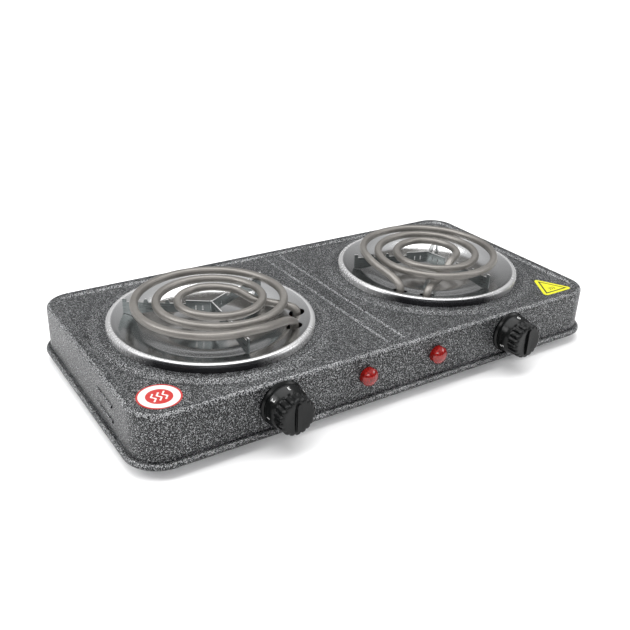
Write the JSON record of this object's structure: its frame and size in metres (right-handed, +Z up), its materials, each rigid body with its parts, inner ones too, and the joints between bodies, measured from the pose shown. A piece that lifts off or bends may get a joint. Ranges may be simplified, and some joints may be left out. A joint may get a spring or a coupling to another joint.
{
  "type": "hot plate burner",
  "caption": "Portable countertop electric hot plate with open spiral elements over bright drip pans, front control knobs and pilot lamps.",
  "frame": {"origin": "centre of the outline's bounding box, knobs and cord gland included, on the surface the feet stand on", "axes": "+Z up, -Y towards the knobs (the front), +X to the right as the user faces the knobs"},
  "size_m": [0.4886, 0.2704, 0.0781],
  "materials": {
    "enamel": "metallic grey paint, semi gloss",
    "pan_chrome": "bright plated",
    "sheath": "matt alloy sheath",
    "zinc": "zinc plated",
    "black_plastic": "moulded phenolic",
    "rubber": "matt",
    "ceramic": "unglazed steatite",
    "brass": "plain",
    "lamp_red": "clear red",
    "wire_sleeve": "glass sleeve",
    "label_red": "printed film",
    "label_yellow": "printed film"
  },
  "bodies": {
    "base": {"housing": "enamel", "base_plate": "zinc", "base_screws": "zinc", "rubber_feet": "rubber", "foot_screws": "zinc", "left_drip_pan": "pan_chrome", "right_drip_pan": "pan_chrome", "left_element": "sheath", "right_element": "sheath", "left_support_yoke": "zinc", "right_support_yoke": "zinc", "left_support_arm": "zinc", "right_support_arm": "zinc", "left_terminal_ceramic": "ceramic", "right_terminal_ceramic": "ceramic", "left_terminal_pins": "zinc", "right_terminal_pins": "zinc", "left_terminal_bracket": "zinc", "right_terminal_bracket": "zinc", "bracket_screws": "zinc", "left_knob_bezel": "black_plastic", "right_knob_bezel": "black_plastic", "left_thermostat_frame": "zinc", "right_thermostat_frame": "zinc", "left_thermostat_ceramics": "ceramic", "right_thermostat_ceramics": "ceramic", "left_contact_blades": "brass", "right_contact_blades": "brass", "thermostat_screws": "zinc", "left_lamp_lens": "lamp_red", "right_lamp_lens": "lamp_red", "left_lamp_holder": "lamp_red", "right_lamp_holder": "lamp_red", "lamp_clips": "zinc", "cord_gland": "rubber", "mains_terminal_block": "ceramic", "terminal_block_screws": "zinc", "earth_screw": "brass", "supply_wires": "wire_sleeve", "left_burner_wires": "wire_sleeve", "right_burner_wires": "wire_sleeve", "lamp_wires": "wire_sleeve", "caution_label": "label_red", "hot_surface_label": "label_yellow"},
    "left_knob_turning": {"left_knob": "black_plastic", "left_knob_pointer": "black_plastic", "left_thermostat_spindle": "zinc"},
    "left_pin_sliding": {"left_push_pin": "ceramic"},
    "right_knob_turning": {"right_knob": "black_plastic", "right_knob_pointer": "black_plastic", "right_thermostat_spindle": "zinc"},
    "right_pin_sliding": {"right_push_pin": "ceramic"}
  },
  "joints": [
    {"name": "left_knob_turn", "type": "hinge", "parent": "base", "child": "left_knob_turning", "pos_m": [-0.122, -0.1078, 0.035], "axis": [0, 1, 0], "range_deg": [0, 270]},
    {"name": "left_pin_push", "type": "slide", "parent": "base", "child": "left_pin_sliding", "axis": [0, 1, 0], "range_m": [0, 0.0008]},
    {"name": "right_knob_turn", "type": "hinge", "parent": "base", "child": "right_knob_turning", "pos_m": [0.126, -0.1078, 0.035], "axis": [0, 1, 0], "range_deg": [0, 270]},
    {"name": "right_pin_push", "type": "slide", "parent": "base", "child": "right_pin_sliding", "axis": [0, 1, 0], "range_m": [0, 0.0008]}
  ],
  "couplings": [
    {"joint": "left_pin_push", "follows": "left_knob_turn", "m_per_rad": 0.00016976},
    {"joint": "right_pin_push", "follows": "right_knob_turn", "m_per_rad": 0.00016976}
  ]
}
